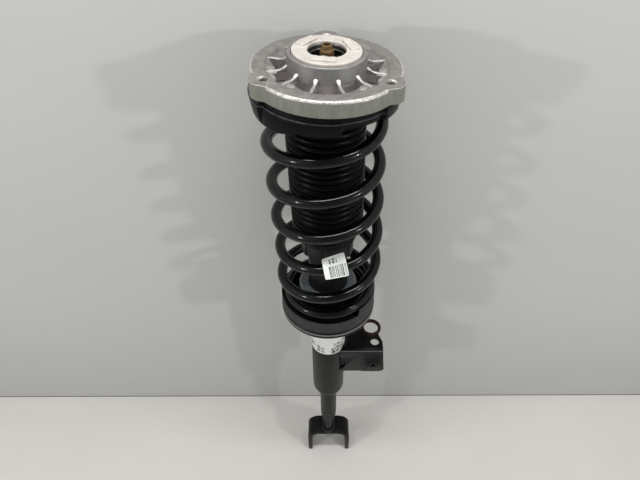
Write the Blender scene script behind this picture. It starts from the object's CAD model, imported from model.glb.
import math
import bpy
from mathutils import Matrix, Vector


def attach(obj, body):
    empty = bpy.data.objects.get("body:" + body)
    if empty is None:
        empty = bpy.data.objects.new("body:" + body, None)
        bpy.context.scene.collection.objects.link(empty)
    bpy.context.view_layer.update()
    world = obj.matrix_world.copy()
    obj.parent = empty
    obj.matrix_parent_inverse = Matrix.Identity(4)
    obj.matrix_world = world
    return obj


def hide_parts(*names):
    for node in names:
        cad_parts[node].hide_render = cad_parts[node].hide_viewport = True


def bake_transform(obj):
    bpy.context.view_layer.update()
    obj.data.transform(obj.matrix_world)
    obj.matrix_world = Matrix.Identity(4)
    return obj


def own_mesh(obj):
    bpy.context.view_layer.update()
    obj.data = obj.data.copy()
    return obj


# Coil-over front strut with a cast top mount, standing on its fork before a grey wall.
# Sizes are in millimetres, heights are from the rim plane of the top mount.
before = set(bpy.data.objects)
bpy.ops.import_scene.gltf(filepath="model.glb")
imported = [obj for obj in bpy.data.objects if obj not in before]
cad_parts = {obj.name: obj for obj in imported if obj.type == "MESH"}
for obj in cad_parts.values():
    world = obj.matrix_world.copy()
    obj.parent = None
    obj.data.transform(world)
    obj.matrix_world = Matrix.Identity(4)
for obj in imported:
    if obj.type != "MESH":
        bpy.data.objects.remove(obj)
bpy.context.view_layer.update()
mm = 0.001
tau = math.tau


# The top leans a little to the right on its soft bush, and the upper coils bow to the left below it
leanSizes = dict(slope=0.039, full=-42.0, none=-140.0)
bowAtHeights = ((20, 0.0), (-16, 0.0), (-34, -3.0), (-70, -4.2), (-150, -2.2), (-205, 0.0), (-255, 1.1),
                (-300, 0.4), (-340, 0.0))


# Picking up and letting go
def letGo():
    if bpy.context.object and bpy.context.object.mode != "OBJECT":
        bpy.ops.object.mode_set(mode="OBJECT")
    bpy.ops.object.select_all(action="DESELECT")


def takeUp(*pieces):
    letGo()
    for piece in pieces:
        piece.select_set(True)
    bpy.context.view_layer.objects.active = pieces[-1]


def smooth(share):
    share = min(max(share, 0.0), 1.0)
    return share * share * (3 - 2 * share)


def rounded(corners, steps=4):
    # fillets a closed outline; a corner is (x, z) or (x, z, radius)
    made = []
    for at, corner in enumerate(corners):
        here = Vector(corner[:2])
        radius = corner[2] if len(corner) > 2 else 0
        if not radius:
            made.append((here.x, here.y))
            continue
        back = Vector(corners[at - 1][:2]) - here
        ahead = Vector(corners[(at + 1) % len(corners)][:2]) - here
        half = 0.5 * back.angle(ahead)
        reach = min(radius / math.tan(half), 0.48 * back.length, 0.48 * ahead.length)
        radius = reach * math.tan(half)
        middle = (back.normalized() + ahead.normalized()).normalized()
        centre = here + middle * (radius / math.sin(half))
        first = here + back.normalized() * reach - centre
        last = here + ahead.normalized() * reach - centre
        sweep = first.angle(last)
        for step in range(steps + 1):
            share = step / steps
            spoke = (first * math.sin((1 - share) * sweep) + last * math.sin(share * sweep)) / math.sin(sweep)
            made.append((centre.x + spoke.x, centre.y + spoke.y))
    return made


def arcPoints(centre, radius, start, end, steps):
    return [(centre[0] + radius * math.cos(math.radians(start + (end - start) * step / steps)),
             centre[1] + radius * math.sin(math.radians(start + (end - start) * step / steps)))
            for step in range(steps + 1)]


# Drawing, spinning and cutting
def drawLine(name, points):
    # one point that is extruded along a line
    letGo()
    bpy.ops.mesh.primitive_plane_add(size=mm)
    piece = bpy.context.object
    piece.name = piece.data.name = name
    bpy.ops.object.mode_set(mode="EDIT")
    bpy.ops.mesh.merge(type="CENTER")
    here = Vector((0, 0, 0))
    for at, point in enumerate(points):
        there = Vector(point) * mm
        if at == 0:
            bpy.ops.transform.translate(value=there)
        else:
            bpy.ops.mesh.extrude_vertices_move(TRANSFORM_OT_translate={"value": there - here})
        here = there
    return piece


def tidyMesh(inside=False):
    bpy.ops.mesh.select_all(action="SELECT")
    bpy.ops.mesh.remove_doubles(threshold=0.00001)
    bpy.ops.mesh.normals_make_consistent(inside=inside)
    bpy.ops.object.mode_set(mode="OBJECT")


def spunPiece(name, outline, steps=96, closed=True):
    # outline of (radius, height); one that isn't closed starts and ends on the axis
    loop = outline + outline[:1] if closed else outline
    piece = drawLine(name, [(x, 0, z) for x, z in loop])
    bpy.ops.mesh.select_all(action="SELECT")
    bpy.ops.mesh.spin(steps=steps, angle=tau, center=(0, 0, 0), axis=(0, 0, 1))
    tidyMesh()
    return piece


def drawnShape(name, points, depth):
    # a filled outline that is extruded by depth
    piece = drawLine(name, points)
    bpy.ops.mesh.select_all(action="SELECT")
    bpy.ops.mesh.edge_face_add()
    bpy.ops.mesh.extrude_region_move(TRANSFORM_OT_translate={"value": Vector(depth) * mm})
    tidyMesh()
    return piece


def roundBar(name, centre, radius, length, along="Z", sides=48):
    letGo()
    turn = {"X": (0, tau / 4, 0), "Y": (tau / 4, 0, 0), "Z": (0, 0, 0)}[along]
    bpy.ops.mesh.primitive_cylinder_add(vertices=sides, radius=radius * mm, depth=length * mm,
                                        location=Vector(centre) * mm, rotation=turn)
    bar = bpy.context.object
    bar.name = name
    bpy.ops.object.transform_apply(location=True, rotation=True, scale=True)
    return bar


def carve(piece, tools, how="DIFFERENCE", selfCross=False):
    for tool in tools:
        takeUp(piece)
        change = piece.modifiers.new("carve", "BOOLEAN")
        change.operation = how
        change.solver = "EXACT"
        change.use_self = selfCross
        change.object = tool
        bpy.ops.object.modifier_apply(modifier="carve")
        bpy.data.objects.remove(tool)


def bevelled(piece, width, segments=2, angle=40):
    takeUp(piece)
    edge = piece.modifiers.new("edges", "BEVEL")
    edge.width = width * mm
    edge.segments = segments
    edge.limit_method = "ANGLE"
    edge.angle_limit = math.radians(angle)
    edge.use_clamp_overlap = True
    bpy.ops.object.modifier_apply(modifier="edges")
    return piece


def smoothed(piece, angle=32):
    takeUp(piece)
    bpy.ops.object.shade_smooth_by_angle(angle=math.radians(angle))
    return piece


def turnedCopy(piece, degrees, mirrored=False):
    made = piece.copy()
    made.data = piece.data.copy()
    bpy.context.collection.objects.link(made)
    if mirrored:
        made.data.transform(Matrix.Scale(-1, 4, (0, 1, 0)))
    made.data.transform(Matrix.Rotation(math.radians(degrees), 4, "Z"))
    if mirrored:
        takeUp(made)
        bpy.ops.object.mode_set(mode="EDIT")
        tidyMesh()
    return made


def joined(pieces):
    takeUp(*pieces)
    bpy.ops.object.join()
    return bpy.context.object


def movePoints(piece, change):
    # change takes and gives (radius, angle in degrees, height) in millimetres
    for point in piece.data.vertices:
        x, y, z = point.co / mm
        radius, angle, height = change(math.hypot(x, y), math.degrees(math.atan2(y, x)), z)
        turn = math.radians(angle)
        point.co = Vector((radius * math.cos(turn), radius * math.sin(turn), height)) * mm
    piece.data.update()


def leaned(piece, bow=1.0, size=leanSizes):
    # bow is the share of the sideways bend that the piece takes
    for point in piece.data.vertices:
        height = point.co.z / mm
        lean = smooth((height - size["none"]) / (size["full"] - size["none"]))
        aside = 0.0
        for (high, first), (low, second) in zip(bowAtHeights, bowAtHeights[1:]):
            if low <= height < high:
                aside = second + (first - second) * smooth((height - low) / (high - low))
        point.co.z -= size["slope"] * lean * point.co.x
        point.co.x += aside * bow * mm
    piece.data.update()
    return piece


def roundWire(name, points, radius, sides=5, closed=False, swell=None):
    # an even tube along points, made a mesh
    letGo()
    data = bpy.data.curves.new(name, "CURVE")
    data.dimensions = "3D"
    data.twist_mode = "Z_UP"
    data.bevel_depth = radius * mm
    data.bevel_resolution = sides
    data.use_fill_caps = True
    line = data.splines.new("POLY")
    line.points.add(len(points) - 1)
    for at, (knot, point) in enumerate(zip(line.points, points)):
        knot.co = (*(Vector(point) * mm), 1)
        knot.radius = swell(at) if swell else 1
    line.use_cyclic_u = closed
    wire = bpy.data.objects.new(name, data)
    bpy.context.collection.objects.link(wire)
    takeUp(wire)
    bpy.ops.object.convert(target="MESH")
    wire = bpy.context.object
    bpy.ops.object.mode_set(mode="EDIT")
    tidyMesh()
    return wire


# Shader effects that several finishes share
def paint(colour):
    # screen values from 0 to 255, made linear
    made = [value / 255 / 12.92 if value <= 10 else ((value / 255 + 0.055) / 1.055) ** 2.4 for value in colour]
    return (*made, 1)


def wire(tree, source, target):
    tree.links.new(source, target)


def addNode(tree, kind, settings=None, values=None):
    made = tree.nodes.new(kind)
    for name, value in (settings or {}).items():
        setattr(made, name, value)
    for name, value in (values or {}).items():
        made.inputs[name].default_value = value
    return made


def newEffect(name, inputs, outputs):
    tree = bpy.data.node_groups.new(name, "ShaderNodeTree")
    for label, value in inputs.items():
        tree.interface.new_socket(label, in_out="INPUT", socket_type="NodeSocketFloat").default_value = value
    for label, kind in outputs.items():
        tree.interface.new_socket(label, in_out="OUTPUT", socket_type=kind)
    return tree, addNode(tree, "NodeGroupInput"), addNode(tree, "NodeGroupOutput")


def remap(tree, value, low, high, bottom=0.0, top=1.0):
    made = addNode(tree, "ShaderNodeMapRange", {"interpolation_type": "SMOOTHSTEP"},
                   {"From Min": low, "From Max": high, "To Min": bottom, "To Max": top})
    wire(tree, value, made.inputs["Value"])
    return made.outputs["Result"]


def combine(tree, how, first, second):
    made = addNode(tree, "ShaderNodeMath", {"operation": how})
    for at, value in enumerate((first, second)):
        if isinstance(value, (int, float)):
            made.inputs[at].default_value = value
        else:
            wire(tree, value, made.inputs[at])
    return made.outputs[0]


def mixColours(tree, share, first, second):
    made = addNode(tree, "ShaderNodeMix", {"data_type": "RGBA"})
    for at, value in ((0, share), (6, first), (7, second)):
        if isinstance(value, (int, float, tuple)):
            made.inputs[at].default_value = value
        else:
            wire(tree, value, made.inputs[at])
    return made.outputs[2]


def fromOne(tree, value):
    return combine(tree, "SUBTRACT", 1.0, value)


def product(tree, *masks):
    made = masks[0]
    for mask in masks[1:]:
        made = combine(tree, "MULTIPLY", made, mask)
    return made


def ownPlace(tree):
    # the piece's own coordinates
    return addNode(tree, "ShaderNodeTexCoord").outputs["Object"]


def threeParts(tree, source):
    parts = addNode(tree, "ShaderNodeSeparateXYZ")
    wire(tree, source, parts.inputs[0])
    return parts.outputs


def noiseFrom(tree, source, start, detail):
    noise = addNode(tree, "ShaderNodeTexNoise", {}, {"Detail": detail})
    wire(tree, source, noise.inputs["Vector"])
    wire(tree, start.outputs["Scale"], noise.inputs["Scale"])
    return noise.outputs["Fac"]


def makeMottle():
    # noise in the piece's own space; Stretch below one draws it out along the height
    tree, start, end = newEffect("mottle", {"Scale": 60, "Stretch": 1, "Detail": 4, "Low": 0.35, "High": 0.65},
                                 {"Mask": "NodeSocketFloat"})
    parts = threeParts(tree, ownPlace(tree))
    whole = addNode(tree, "ShaderNodeCombineXYZ")
    wire(tree, parts["X"], whole.inputs["X"])
    wire(tree, parts["Y"], whole.inputs["Y"])
    wire(tree, product(tree, parts["Z"], start.outputs["Stretch"]), whole.inputs["Z"])
    noise = addNode(tree, "ShaderNodeTexNoise", {}, {"Roughness": 0.6})
    wire(tree, whole.outputs[0], noise.inputs["Vector"])
    wire(tree, start.outputs["Scale"], noise.inputs["Scale"])
    wire(tree, start.outputs["Detail"], noise.inputs["Detail"])
    made = addNode(tree, "ShaderNodeMapRange")
    wire(tree, noise.outputs["Fac"], made.inputs["Value"])
    wire(tree, start.outputs["Low"], made.inputs["From Min"])
    wire(tree, start.outputs["High"], made.inputs["From Max"])
    wire(tree, made.outputs[0], end.inputs["Mask"])
    return tree


def makeSoftEdge():
    # rounds the look of edges and says where they are worn
    tree, start, end = newEffect("softEdge", {"Radius": 0.0006, "Wear": 1.0, "Scale": 300},
                                 {"Normal": "NodeSocketVector", "Worn": "NodeSocketFloat"})
    rounding = addNode(tree, "ShaderNodeBevel", {"samples": 6})
    wire(tree, start.outputs["Radius"], rounding.inputs["Radius"])
    shape = addNode(tree, "ShaderNodeNewGeometry")
    dot = addNode(tree, "ShaderNodeVectorMath", {"operation": "DOT_PRODUCT"})
    wire(tree, rounding.outputs["Normal"], dot.inputs[0])
    wire(tree, shape.outputs["Normal"], dot.inputs[1])
    turned = remap(tree, fromOne(tree, dot.outputs["Value"]), 0.02, 0.16)
    broken = remap(tree, noiseFrom(tree, ownPlace(tree), start, 3.0), 0.40, 0.62)
    wire(tree, rounding.outputs["Normal"], end.inputs["Normal"])
    wire(tree, product(tree, turned, broken, start.outputs["Wear"]), end.inputs["Worn"])
    return tree


def makeFineDust():
    # dust that lies on what faces upwards
    tree, start, end = newEffect("fineDust", {"Amount": 0.2, "Scale": 90}, {"Mask": "NodeSocketFloat"})
    upwards = threeParts(tree, addNode(tree, "ShaderNodeNewGeometry").outputs["Normal"])["Z"]
    lying = remap(tree, upwards, 0.35, 1.0)
    patchy = remap(tree, noiseFrom(tree, ownPlace(tree), start, 5.0), 0.3, 0.7, 0.35, 1.0)
    wire(tree, product(tree, lying, patchy, start.outputs["Amount"]), end.inputs["Mask"])
    return tree


def makeSpeckle():
    # small round spots, such as pits, pores and grains of dirt
    tree, start, end = newEffect("speckle", {"Scale": 500, "Size": 0.25}, {"Mask": "NodeSocketFloat"})
    cells = addNode(tree, "ShaderNodeTexVoronoi")
    wire(tree, ownPlace(tree), cells.inputs["Vector"])
    wire(tree, start.outputs["Scale"], cells.inputs["Scale"])
    made = addNode(tree, "ShaderNodeMapRange", {}, {"From Min": 0.0, "To Min": 1.0, "To Max": 0.0})
    wire(tree, cells.outputs["Distance"], made.inputs["Value"])
    wire(tree, start.outputs["Size"], made.inputs["From Max"])
    wire(tree, made.outputs[0], end.inputs["Mask"])
    return tree


mottle = makeMottle()
softEdge = makeSoftEdge()
fineDust = makeFineDust()
speckle = makeSpeckle()


def use(tree, effect, **values):
    made = addNode(tree, "ShaderNodeGroup", {"node_tree": effect})
    for name, value in values.items():
        made.inputs[name].default_value = value
    return made


def makeLook(name, finish):
    # patches of two colours, dust on top, worn edges, uneven gloss and a fine grain
    look = bpy.data.materials.new(name)
    look.use_nodes = True
    tree = look.node_tree
    shader = tree.nodes["Principled BSDF"]
    shader.inputs["Metallic"].default_value = finish.get("metal", 0.0)
    shader.inputs["Coat Weight"].default_value = finish.get("coat", 0.0)
    shader.inputs["Coat Roughness"].default_value = finish.get("coatRoughness", 0.08)
    shader.inputs["Specular IOR Level"].default_value = finish.get("specular", 0.5)
    patch = use(tree, mottle, Scale=finish.get("patch", 60), Stretch=finish.get("stretch", 1.0))
    colour = mixColours(tree, patch.outputs["Mask"], paint(finish["colour"]), paint(finish["second"]))
    edge = use(tree, softEdge, Radius=finish.get("edge", 0.5) * mm, Wear=finish.get("wear", 0.0))
    if finish.get("wear"):
        colour = mixColours(tree, edge.outputs["Worn"], colour, paint(finish["wornColour"]))
    if finish.get("spots"):
        spots = use(tree, speckle, Scale=finish["spots"], Size=finish.get("spotSize", 0.2))
        colour = mixColours(tree, spots.outputs["Mask"], colour, paint(finish["spotColour"]))
    if finish.get("dust"):
        dust = use(tree, fineDust, Amount=finish["dust"], Scale=finish.get("dustScale", 90))
        colour = mixColours(tree, dust.outputs["Mask"], colour, paint(finish.get("dustColour", (150, 148, 142))))
    wire(tree, colour, shader.inputs["Base Color"])
    smoothness = use(tree, mottle, Scale=finish.get("patch", 60) * 2.3, Low=0.3, High=0.7)
    low, high = finish["roughness"]
    made = addNode(tree, "ShaderNodeMapRange", {}, {"To Min": low, "To Max": high})
    wire(tree, smoothness.outputs["Mask"], made.inputs["Value"])
    wire(tree, made.outputs[0], shader.inputs["Roughness"])
    grain = use(tree, mottle, Scale=finish.get("grain", 900), Stretch=finish.get("grainStretch", 1.0),
                Detail=3, Low=0.2, High=0.8)
    bump = addNode(tree, "ShaderNodeBump", {}, {"Strength": finish.get("bump", 0.1),
                                                "Distance": finish.get("depth", 0.2) * mm})
    wire(tree, grain.outputs["Mask"], bump.inputs["Height"])
    wire(tree, edge.outputs["Normal"], bump.inputs["Normal"])
    wire(tree, bump.outputs["Normal"], shader.inputs["Normal"])
    return look


def heightMask(tree, low, high, slope=0.0):
    # 0 below low and 1 above high, in millimetres; slope follows a piece that leans to the right
    parts = threeParts(tree, ownPlace(tree))
    height = parts["Z"]
    if slope:
        height = combine(tree, "ADD", height, product(tree, parts["X"], slope))
    return remap(tree, height, low * mm, high * mm)


def heightBand(tree, foot, low, high, top, slope=0.0):
    # 1 between low and high, fading out at foot and top
    return product(tree, heightMask(tree, foot, low, slope), fromOne(tree, heightMask(tree, high, top, slope)))


def reachMask(tree, low, high):
    # 0 nearer to the axis than low and 1 beyond high, in millimetres
    flat = addNode(tree, "ShaderNodeVectorMath", {"operation": "MULTIPLY"})
    flat.inputs[1].default_value = (1, 1, 0)
    size = addNode(tree, "ShaderNodeVectorMath", {"operation": "LENGTH"})
    wire(tree, ownPlace(tree), flat.inputs[0])
    wire(tree, flat.outputs[0], size.inputs[0])
    return remap(tree, size.outputs["Value"], low * mm, high * mm)


def painted(look):
    # the shader and what reaches its colour, to add a layer to
    tree = look.node_tree
    shader = tree.nodes["Principled BSDF"]
    return tree, shader, shader.inputs["Base Color"].links[0].from_socket


def place(piece, look, slotName, body, *nodes):
    piece.data.materials.clear()
    piece.data.materials.append(look)
    if body:
        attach(piece, body)
    if nodes:
        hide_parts(*nodes)
    print("made", piece.name, len(piece.data.polygons), "faces")
    return piece


# Finishes, and the heights at which a finish changes
markHeights = dict(rust=(-14, -9), discHole=(12.2, 12.7), perchCrown=(-315.0, -312.4),
                   perchBand=(-355.8, -354.2, -352.6, -350.8), padLedge=(-25.6, -25.0, -24.4, -23.8),
                   bracketBend=(-458.4, -457.2, -456.2, -455.0), wallFoot=(-900, -420), wallSeam=(-792.5, -788.5))


def castLook():
    # die-cast aluminium: fluted on its upright wall, dull in its pockets, rubbed bright on its edges
    look = makeLook("castAluminium", {
        "colour": (154, 150, 146), "second": (132, 129, 125), "patch": 130, "metal": 0.55,
        "roughness": (0.34, 0.5), "edge": 0.9, "wear": 0.9, "wornColour": (232, 230, 226),
        "spots": 330, "spotSize": 0.2, "spotColour": (112, 108, 103), "grain": 620, "bump": 0.32, "depth": 0.25})
    tree, shader, colour = painted(look)
    lean = leanSizes["slope"]
    normal = threeParts(tree, addNode(tree, "ShaderNodeNewGeometry").outputs["Normal"])
    level = combine(tree, "ABSOLUTE", normal["Z"], 0.0)
    upright = remap(tree, level, 0.7, 0.3)

    def within(low, high):
        return fromOne(tree, reachMask(tree, low, high))

    def above(low, high):
        return heightMask(tree, low, high, lean)

    def patches(**values):
        return use(tree, mottle, **values).outputs["Mask"]

    skin = patches(Scale=160, Stretch=0.6, Detail=4, Low=0.3, High=0.7)
    flutes = patches(Scale=420, Stretch=0.14, Detail=4, Low=0.3, High=0.7)
    broken = patches(Scale=420, Detail=5, Low=0.4, High=0.6)
    bossWall = product(tree, upright, within(45.5, 47.0))
    recess = product(tree, within(60.2, 61.4), fromOne(tree, above(-4.4, -3.0)))
    crest = product(tree, above(-2.3, -1.3), remap(tree, level, 0.35, 0.6), reachMask(tree, 40.2, 41.2),
                    within(57.0, 60.5))
    knob = product(tree, crest, above(-0.6, 1.2))
    outer = product(tree, upright, reachMask(tree, 62.0, 64.0), fromOne(tree, above(-2.5, -0.5)))
    rounding = product(tree, remap(tree, level, 0.15, 0.45), fromOne(tree, remap(tree, level, 0.93, 0.99)),
                       reachMask(tree, 66.0, 70.0), above(-4.5, -3.0))
    layers = (
        (bossWall, (124, 124, 122), (140, 138, 135), skin),
        (recess, (170, 161, 162), (150, 144, 144), skin),
        (crest, (198, 193, 189), (176, 171, 167), skin),
        (knob, (236, 233, 229), (222, 219, 214), skin),
        (outer, (132, 134, 126), (152, 152, 140), flutes),
        (rounding, (224, 220, 215), (170, 166, 161), broken))
    for mask, first, second, share in layers:
        colour = mixColours(tree, mask, colour, mixColours(tree, share, paint(first), paint(second)))
    wire(tree, colour, shader.inputs["Base Color"])
    bump = shader.inputs["Normal"].links[0].from_node
    deeper = addNode(tree, "ShaderNodeBump", {}, {"Strength": 0.28, "Distance": 0.25 * mm})
    wire(tree, product(tree, flutes, outer), deeper.inputs["Height"])
    wire(tree, bump.outputs["Normal"], deeper.inputs["Normal"])
    wire(tree, deeper.outputs["Normal"], shader.inputs["Normal"])
    return look


def rodLook():
    # ground chrome rod whose bare threaded end has rusted
    look = makeLook("rustedRod", {
        "colour": (92, 68, 40), "second": (118, 90, 54), "patch": 420, "metal": 0.3, "roughness": (0.45, 0.7),
        "edge": 0.4, "wear": 0.6, "wornColour": (160, 126, 80), "spots": 900, "spotSize": 0.3,
        "spotColour": (62, 44, 28), "grain": 1500, "bump": 0.35, "depth": 0.15})
    tree, shader, colour = painted(look)
    rusty = heightMask(tree, *markHeights["rust"])
    wire(tree, mixColours(tree, rusty, paint((196, 197, 198)), colour), shader.inputs["Base Color"])
    wire(tree, remap(tree, rusty, 0, 1, 1.0, 0.3), shader.inputs["Metallic"])
    rough = addNode(tree, "ShaderNodeMapRange", {}, {"To Min": 0.14, "To Max": 0.55})
    wire(tree, rusty, rough.inputs["Value"])
    wire(tree, rough.outputs[0], shader.inputs["Roughness"])
    return look


def discLook():
    # a pale pressing, bare and dark inside its hole
    look = makeLook("whitePressedDisc", {
        "colour": (214, 208, 200), "second": (198, 191, 184), "patch": 70, "metal": 0.1,
        "roughness": (0.3, 0.44), "edge": 0.6, "wear": 0.5, "wornColour": (240, 237, 232),
        "spots": 300, "spotSize": 0.12, "spotColour": (140, 126, 108), "grain": 500, "bump": 0.12, "depth": 0.2})
    tree, shader, colour = painted(look)
    low = fromOne(tree, heightMask(tree, *markHeights["discHole"], leanSizes["slope"]))
    inside = product(tree, low, fromOne(tree, reachMask(tree, 19.6, 20.2)))
    wire(tree, mixColours(tree, inside, colour, paint((112, 110, 106))), shader.inputs["Base Color"])
    wire(tree, remap(tree, inside, 0, 1, 0.1, 0.9), shader.inputs["Metallic"])
    return look


def perchLook():
    # gloss black, with a rubbed line round its rim; its raised middle is level and mirrors the pale wall
    look = makeLook("perchPaint", {
        "colour": (9, 10, 11), "second": (15, 16, 18), "patch": 60, "roughness": (0.18, 0.3), "edge": 0.7,
        "wear": 0.5, "wornColour": (110, 106, 106), "grain": 500, "bump": 0.08, "dust": 0.25, "specular": 0.12,
        "dustColour": (100, 104, 108)})
    tree, shader, colour = painted(look)
    raised = heightMask(tree, *markHeights["perchCrown"])
    band = product(tree, heightBand(tree, *markHeights["perchBand"]), reachMask(tree, 64.6, 65.2))
    colour = mixColours(tree, band, colour, paint((118, 110, 110)))
    wire(tree, mixColours(tree, raised, colour, paint((118, 123, 128))), shader.inputs["Base Color"])
    return look


def upperPadLook():
    # black, with a pale rubbed line along the ledge of its deep skirt
    look = makeLook("upperPadRubber", {
        "colour": (7, 8, 9), "second": (12, 13, 14), "patch": 80, "roughness": (0.3, 0.44), "edge": 0.8,
        "wear": 0.9, "wornColour": (70, 72, 76), "spots": 240, "spotSize": 0.08, "spotColour": (48, 48, 46),
        "specular": 0.12, "grain": 900, "bump": 0.18, "depth": 0.2})
    tree, shader, colour = painted(look)
    uneven = remap(tree, use(tree, mottle, Scale=90).outputs["Mask"], 0.1, 0.7, 0.3, 1.0)
    ledge = product(tree, heightBand(tree, *markHeights["padLedge"], leanSizes["slope"]), uneven)
    wire(tree, mixColours(tree, ledge, colour, paint((74, 76, 82))), shader.inputs["Base Color"])
    return look


def lowerPadLook():
    # grey with wear outside, black between its wall and the wire
    look = makeLook("lowerPadRubber", {
        "colour": (46, 47, 48), "second": (56, 57, 57), "patch": 90, "roughness": (0.5, 0.68), "edge": 0.8,
        "wear": 0.3, "wornColour": (74, 75, 75), "specular": 0.2, "grain": 900, "bump": 0.18, "depth": 0.2})
    tree, shader, colour = painted(look)
    outside = reachMask(tree, 63.2, 64.2)
    wire(tree, mixColours(tree, outside, paint((10, 11, 12)), colour), shader.inputs["Base Color"])
    return look


looks = {
    "cast": castLook(),
    "rod": rodLook(),
    "disc": discLook(),
    "steel": makeLook("zincSteel", {
        "colour": (150, 148, 140), "second": (122, 118, 110), "patch": 150, "metal": 0.9, "roughness": (0.28, 0.45),
        "edge": 0.4, "wear": 0.4, "wornColour": (190, 188, 182), "grain": 1200, "bump": 0.1}),
    "bush": makeLook("bushRubber", {
        "colour": (22, 22, 22), "second": (30, 30, 29), "patch": 120, "roughness": (0.55, 0.75), "edge": 0.6,
        "dust": 0.2, "grain": 1400, "bump": 0.2}),
    "upperPad": upperPadLook(),
    "lowerPad": lowerPadLook(),
    "boot": makeLook("bootRubber", {
        "colour": (4, 5, 6), "second": (7, 8, 9), "patch": 70, "roughness": (0.24, 0.36), "edge": 0.4,
        "specular": 0.1, "grain": 1100, "bump": 0.1, "depth": 0.15}),
    "foam": makeLook("bumpStopFoam", {
        "colour": (196, 186, 150), "second": (178, 168, 132), "patch": 90, "roughness": (0.8, 0.95), "edge": 0.8,
        "spots": 1600, "spotSize": 0.35, "spotColour": (130, 120, 90), "grain": 2200, "bump": 0.5, "depth": 0.2}),
    "coil": makeLook("coilCoat", {
        "colour": (4, 5, 6), "second": (7, 8, 10), "patch": 110, "roughness": (0.1, 0.2), "specular": 0.3,
        "edge": 0.4, "spots": 420, "spotSize": 0.05, "spotColour": (88, 92, 96), "grain": 240, "bump": 0.12,
        "depth": 0.25}),
    "tube": makeLook("tubePaint", {
        "colour": (19, 20, 19), "second": (26, 27, 26), "patch": 60, "roughness": (0.28, 0.4), "edge": 0.5,
        "wear": 0.4, "wornColour": (72, 74, 74), "specular": 0.17, "grain": 800, "bump": 0.08}),
    "dark": makeLook("bracketPaint", {
        "colour": (5, 6, 7), "second": (10, 11, 12), "patch": 80, "roughness": (0.24, 0.38), "edge": 0.6,
        "wear": 0.5, "wornColour": (84, 84, 84), "spots": 340, "spotSize": 0.06, "spotColour": (64, 62, 58),
        "specular": 0.13, "grain": 500, "bump": 0.12}),
    "perch": perchLook(),
    "fork": makeLook("forkPaint", {
        "colour": (15, 16, 15), "second": (24, 25, 24), "patch": 70, "roughness": (0.22, 0.34), "edge": 0.7,
        "wear": 0.6, "wornColour": (104, 102, 98), "spots": 300, "spotSize": 0.08, "spotColour": (76, 72, 66),
        "grain": 600, "bump": 0.12, "specular": 0.11}),
    "weld": makeLook("paintedWeld", {
        "colour": (16, 17, 18), "second": (30, 30, 29), "patch": 300, "roughness": (0.28, 0.45), "edge": 0.4,
        "wear": 0.6, "wornColour": (96, 94, 90), "specular": 0.25, "grain": 1500, "bump": 0.4, "depth": 0.3}),
    "cap": makeLook("capPlastic", {
        "colour": (15, 16, 17), "second": (21, 22, 23), "patch": 70, "roughness": (0.36, 0.5), "edge": 0.7,
        "specular": 0.3, "grain": 1300, "bump": 0.14}),
    "bronze": makeLook("pistonBand", {
        "colour": (126, 96, 52), "second": (142, 110, 64), "patch": 120, "metal": 0.5, "roughness": (0.4, 0.55),
        "grain": 900, "bump": 0.1}),
}
print("finishes ready:", len(looks))


# Top mount
castingSizes = dict(plate=75.8, height=16.9, rimInner=61.4, recess=12.6, boss=39.5, bossTop=13.4, bore=34.9,
                    hub=40.8, hubFoot=-24.0, lugAngles=(-30, 90, 210), lugCircle=69.0, lugRadius=13.8, lugFillet=11.0,
                    edge=3.2, postRadius=12.4, holeRadius=3.9, ribs=12, ribCrest=2.9, ribThickness=3.5, ribKnob=4.7)


def gusset(size):
    # drawn in the XZ plane, thicker at its foot, with a knob that climbs the boss
    crest = size["ribCrest"]
    start = size["boss"] + 1.0
    top = [(37.2, crest), (start - 0.2, crest)]
    for share in (0.1, 0.25, 0.42, 0.6, 0.8, 1.0):
        top.append((start + 9.0 * share, (crest + 1.0) * (1 - share) ** 2.4 - 1.0))
    outline = [(37.2, -size["recess"] - 1)] + top + [(62.6, -1.05), (62.6, -8.0)]
    rib = drawnShape("gusset", [(x, -0.5, z) for x, z in outline], (0, 1, 0))
    for point in rib.data.vertices:
        x, z = point.co.x / mm, point.co.z / mm
        knob = smooth(1 - (x - start - 0.6) / 4.5) if z > -4 else 0
        draft = 1.35 if z < -4 else 1.0
        point.co.y *= draft * (size["ribThickness"] + (size["ribKnob"] - size["ribThickness"]) * knob)
    return bevelled(rib, 1.35, 3, 50)


def lugBoss(size):
    # a round boss on the rim whose flanks run into it in hollow curves
    plate, reach, lug, hollow = size["plate"], size["lugCircle"], size["lugRadius"], size["lugFillet"]
    away = ((plate + hollow) ** 2 - (lug + hollow) ** 2 + reach ** 2) / (2 * reach)
    aside = math.sqrt((plate + hollow) ** 2 - away ** 2)
    onRim = math.degrees(math.atan2(aside, away))
    onLug = math.degrees(math.atan2(aside, away - reach))
    flank = arcPoints((away, aside), hollow, 180 + onLug, 180 + onRim, 7)
    nose = arcPoints((reach, 0), lug, -onLug, onLug, 22)[1:-1]
    outline = [(62, 0)] + [(x, -y) for x, y in reversed(flank)] + nose + flank
    # a hair above the rim, so that the two tops don't coincide
    top = 0.03
    made = drawnShape("lugBoss", [(x, y, top) for x, y in outline], (0, 0, -size["height"] + 0.6 - top))
    return bevelled(made, size["edge"], 5, 50)


def ejectorStep(size):
    # the level patch that carries an ejector mark, beside a lug
    corners = [(62.8, 10), (62.8, 22), (62.8, 34), (62.2, 45), (60.6, 45), (50.2, 17), (49.6, 12)]
    points = [(radius * math.cos(math.radians(turn)), radius * math.sin(math.radians(turn)), -13.2)
              for radius, turn in corners]
    step = drawnShape("ejectorStep", points, (0, 0, 10.7))
    bevelled(step, 0.9, 3, 50)
    turn = math.radians(22)
    mark = roundBar("mark", (54.8 * math.cos(turn), 54.8 * math.sin(turn), -5), 4.0, 6.4, sides=32)
    return joined([bevelled(mark, 0.4, 2, 50), step])


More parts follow.
